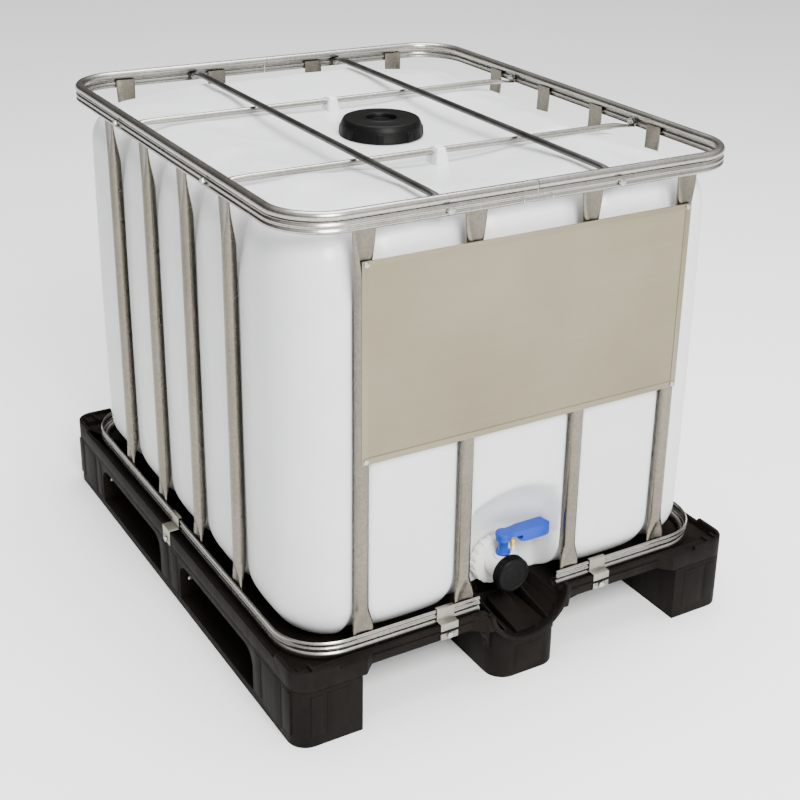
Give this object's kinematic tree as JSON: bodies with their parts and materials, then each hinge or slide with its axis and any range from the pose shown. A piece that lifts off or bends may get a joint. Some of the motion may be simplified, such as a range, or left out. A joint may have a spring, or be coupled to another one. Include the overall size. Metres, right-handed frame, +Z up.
{
  "type": "intermediate bulk container",
  "caption": "Bulk liquid container: white blow-moulded tank in a galvanised tube cage on a black plastic pallet, with screw lid and outlet valve.",
  "frame": {"origin": "on the floor under the middle of the pallet", "axes": "+Z up, the outlet valve faces -Y, +X to the right of a person facing the valve"},
  "size_m": [1.011, 1.2, 0.988],
  "materials": {
    "pallet_plastic": "moulded polyethylene, faint sheen",
    "cage_steel": "galvanised",
    "bar_steel": "galvanised, dull",
    "clip_steel": "galvanised sheet",
    "plate_steel": "galvanised sheet, dull",
    "fastener_steel": "zinc plated",
    "bottle_plastic": "natural white polyethylene, satin",
    "cap_plastic": "moulded",
    "seal_rubber": "soft",
    "valve_plastic": "moulded, cream",
    "lever_plastic": "moulded, blue",
    "stop_plastic": "moulded, yellow"
  },
  "bodies": {
    "root": {"pallet_deck": "pallet_plastic", "left_skid": "pallet_plastic", "centre_skid": "pallet_plastic", "right_skid": "pallet_plastic", "front_webs": "pallet_plastic", "skid_screws": "fastener_steel", "top_ring_left": "cage_steel", "top_ring_right": "cage_steel", "bottom_ring_left": "cage_steel", "bottom_ring_right": "cage_steel", "ring_spigots": "cage_steel", "front_tube_1": "cage_steel", "front_tube_2": "cage_steel", "front_tube_3": "cage_steel", "front_tube_4": "cage_steel", "back_tube_1": "cage_steel", "back_tube_2": "cage_steel", "back_tube_3": "cage_steel", "back_tube_4": "cage_steel", "left_tube_1": "cage_steel", "left_tube_2": "cage_steel", "left_tube_3": "cage_steel", "left_tube_4": "cage_steel", "right_tube_1": "cage_steel", "right_tube_2": "cage_steel", "right_tube_3": "cage_steel", "right_tube_4": "cage_steel", "long_bar_left": "bar_steel", "long_bar_right": "bar_steel", "tie_bar_front": "bar_steel", "tie_bar_back": "bar_steel", "bar_bolts": "fastener_steel", "bar_nuts": "fastener_steel", "clip_front_left": "clip_steel", "clip_front_right": "clip_steel", "clip_left": "clip_steel", "clip_right": "clip_steel", "clip_back_left": "clip_steel", "clip_back_right": "clip_steel", "clip_screws": "fastener_steel", "front_plate": "plate_steel", "plate_rivets": "fastener_steel", "bottle_ends": "bottle_plastic", "bottle_sides": "bottle_plastic", "bottle_base": "bottle_plastic", "bottle_top_panel": "bottle_plastic", "bottle_neck": "bottle_plastic", "valve_nut": "valve_plastic", "valve_gasket": "seal_rubber", "valve_body": "valve_plastic", "ball_seats": "valve_plastic", "lever_stop": "stop_plastic"},
    "valve_lever": {"stem": "lever_plastic", "ball": "valve_plastic", "lever": "lever_plastic", "lever_screw": "fastener_steel"},
    "lid_seal": {"lid_gasket": "seal_rubber"},
    "lid_cap": {"lid": "cap_plastic"},
    "cap_seal": {"cap_gasket": "seal_rubber"},
    "outlet_screw_cap": {"outlet_cap": "cap_plastic"}
  },
  "joints": [
    {"name": "lever_turn", "type": "hinge", "parent": "root", "child": "valve_lever", "pos_m": [0, -0.5, 0.184], "axis": [0, 0, -1], "range_deg": [0, 90]},
    {"name": "lid_rise", "type": "slide", "parent": "root", "child": "lid_seal", "axis": [0, 0, 1], "range_m": [0, 0.0241]},
    {"name": "lid_turn", "type": "hinge", "parent": "lid_seal", "child": "lid_cap", "pos_m": [0, 0, 0.95], "axis": [0, 0, 1], "range_deg": [0, 720]},
    {"name": "cap_travel", "type": "slide", "parent": "root", "child": "cap_seal", "axis": [0, -1, 0], "range_m": [0, 0.0181]},
    {"name": "cap_turn", "type": "hinge", "parent": "cap_seal", "child": "outlet_screw_cap", "pos_m": [0, -0.535, 0.184], "axis": [0, -1, 0], "range_deg": [0, 1080]}
  ],
  "couplings": [
    {"joint": "lid_rise", "follows": "lid_turn", "m_per_rad": 0.0019099},
    {"joint": "cap_travel", "follows": "cap_turn", "m_per_rad": 0.00095493}
  ]
}
